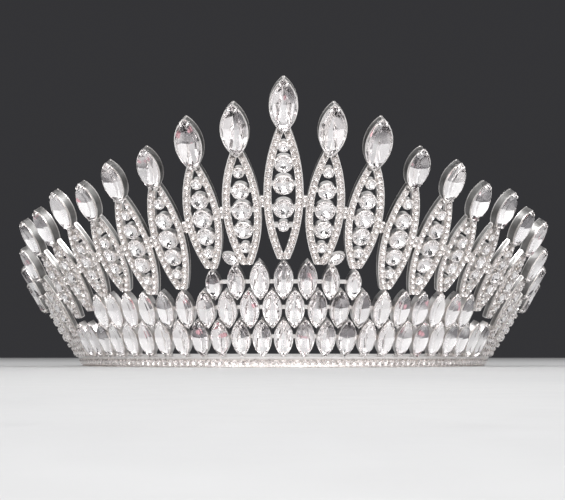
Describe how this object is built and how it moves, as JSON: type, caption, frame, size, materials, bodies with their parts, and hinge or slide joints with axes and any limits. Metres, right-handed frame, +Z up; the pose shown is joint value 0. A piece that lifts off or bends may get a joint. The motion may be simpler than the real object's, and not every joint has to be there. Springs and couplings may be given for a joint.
{
  "type": "pageant crown",
  "caption": "Open-backed jewelled crown with leaf-shaped spikes on a field of pointed-oval stones, a stone-set band and wire end loops.",
  "frame": {"origin": "centre of the band's circle, on the surface that the crown stands on", "axes": "+Z up, the front of the crown faces -Y, +X to the viewer's right when looking at its front"},
  "size_m": [0.1858, 0.1582, 0.0818],
  "materials": {
    "metal": "bright rhodium plate",
    "wire": "plain drawn wire",
    "crystal": "cut crystal with a silvered back",
    "small_crystal": "small cut crystal with a silvered back"
  },
  "bodies": {
    "root": {"base_band": "metal", "end_wire_left": "wire", "end_wire_right": "wire", "row_low_settings": "metal", "row_middle_settings": "metal", "row_top_settings": "metal", "row_low_stones": "crystal", "row_middle_stones": "crystal", "row_top_stones": "crystal", "leaf_stones": "crystal", "spike_left_11": "metal", "spike_left_10": "metal", "spike_left_9": "metal", "spike_left_8": "metal", "spike_left_7": "metal", "spike_left_6": "metal", "spike_left_5": "metal", "spike_left_4": "metal", "spike_left_3": "metal", "spike_left_2": "metal", "spike_left_1": "metal", "spike_center": "metal", "spike_right_1": "metal", "spike_right_2": "metal", "spike_right_3": "metal", "spike_right_4": "metal", "spike_right_5": "metal", "spike_right_6": "metal", "spike_right_7": "metal", "spike_right_8": "metal", "spike_right_9": "metal", "spike_right_10": "metal", "spike_right_11": "metal", "tip_stone_left_11": "crystal", "tip_stone_left_10": "crystal", "tip_stone_left_9": "crystal", "tip_stone_left_8": "crystal", "tip_stone_left_7": "crystal", "tip_stone_left_6": "crystal", "tip_stone_left_5": "crystal", "tip_stone_left_4": "crystal", "tip_stone_left_3": "crystal", "tip_stone_left_2": "crystal", "tip_stone_left_1": "crystal", "tip_stone_center": "crystal", "tip_stone_right_1": "crystal", "tip_stone_right_2": "crystal", "tip_stone_right_3": "crystal", "tip_stone_right_4": "crystal", "tip_stone_right_5": "crystal", "tip_stone_right_6": "crystal", "tip_stone_right_7": "crystal", "tip_stone_right_8": "crystal", "tip_stone_right_9": "crystal", "tip_stone_right_10": "crystal", "tip_stone_right_11": "crystal"}
  },
  "joints": []
}
